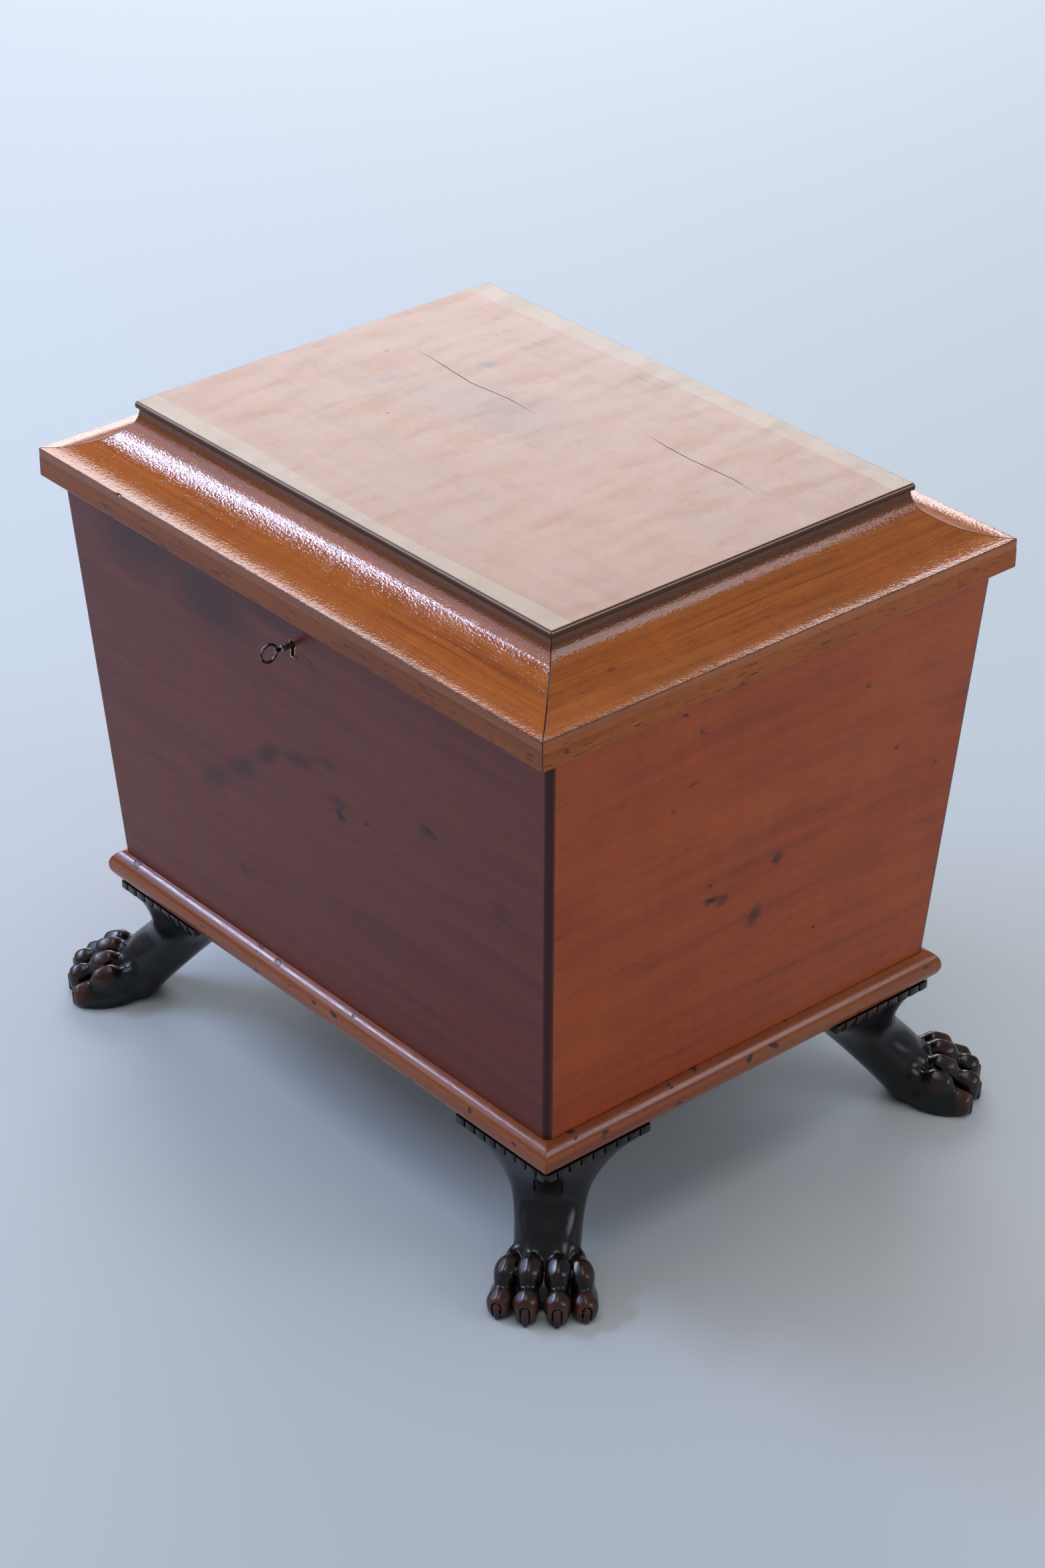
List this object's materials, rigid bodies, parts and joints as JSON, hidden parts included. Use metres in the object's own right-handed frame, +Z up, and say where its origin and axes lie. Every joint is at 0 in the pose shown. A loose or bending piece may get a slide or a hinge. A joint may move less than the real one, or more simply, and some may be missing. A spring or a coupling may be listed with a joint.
{
  "type": "cellarette",
  "caption": "Sarcophagus-shaped wooden wine chest with a hinged coved lid, tapering panelled sides, a half-round base moulding, carved paw feet, a box lock and a lined bottle compartment.",
  "frame": {"origin": "on the floor under the middle of the chest", "axes": "+Z up, the keyhole side faces -Y, +X to the right of someone facing the keyhole"},
  "size_m": [0.6928, 0.5468, 0.5795],
  "materials": {
    "figured_mahogany": "old French-polished mahogany, worn satin",
    "ebonised_wood": "ebonised and polished, worn brown on the high points",
    "oak": "bare sawn secondary wood",
    "brass": "old brass, dulled",
    "iron": "filed wrought iron, oiled",
    "key_iron": "handled iron, grey-brown",
    "zinc": "oxidised zinc sheet"
  },
  "bodies": {
    "carcase": {"front_panel": "figured_mahogany", "back_panel": "figured_mahogany", "left_panel": "figured_mahogany", "right_panel": "figured_mahogany", "base_moulding_front": "figured_mahogany", "base_moulding_back": "figured_mahogany", "base_moulding_left": "figured_mahogany", "base_moulding_right": "figured_mahogany", "long_divider_front": "figured_mahogany", "long_divider_back": "figured_mahogany", "cross_divider_left": "figured_mahogany", "cross_divider_middle": "figured_mahogany", "cross_divider_right": "figured_mahogany", "foot_front_left": "ebonised_wood", "foot_front_right": "ebonised_wood", "foot_back_left": "ebonised_wood", "foot_back_right": "ebonised_wood", "hinge_leaf_carcase_left": "brass", "hinge_leaf_carcase_right": "brass", "hinge_screws_carcase": "brass", "keyhole_escutcheon": "brass", "lock_plate": "brass", "lock_case": "brass", "lock_screws": "brass", "hinge_pin_left": "iron", "hinge_pin_right": "iron", "drill_pin": "iron", "base_board": "oak", "zinc_liner": "zinc"},
    "lid": {"lid_rail_front": "figured_mahogany", "lid_rail_back": "figured_mahogany", "lid_rail_left": "figured_mahogany", "lid_rail_right": "figured_mahogany", "cove_front": "figured_mahogany", "cove_back": "figured_mahogany", "cove_left": "figured_mahogany", "cove_right": "figured_mahogany", "lid_top_panel": "figured_mahogany", "hinge_leaf_lid_left": "brass", "hinge_leaf_lid_right": "brass", "hinge_screws_lid": "brass", "link_plate": "brass", "link_plate_screws": "brass"},
    "key": {"key": "key_iron"},
    "bolt": {"lock_bolt": "iron"}
  },
  "joints": [
    {"name": "lid_hinge", "type": "hinge", "parent": "carcase", "child": "lid", "pos_m": [0, 0.236, 0.50725], "axis": [-1, 0, 0], "range_deg": [0, 97]},
    {"name": "key_turn", "type": "hinge", "parent": "carcase", "child": "key", "pos_m": [0, -0.232, 0.475], "axis": [0, 1, 0], "range_deg": [0, 360]},
    {"name": "bolt_slide", "type": "slide", "parent": "carcase", "child": "bolt", "axis": [1, 0, 0], "range_m": [0, 0.008]}
  ],
  "couplings": [
    {"joint": "key_turn", "follows": "bolt_slide", "rad_per_m": 785.39}
  ]
}
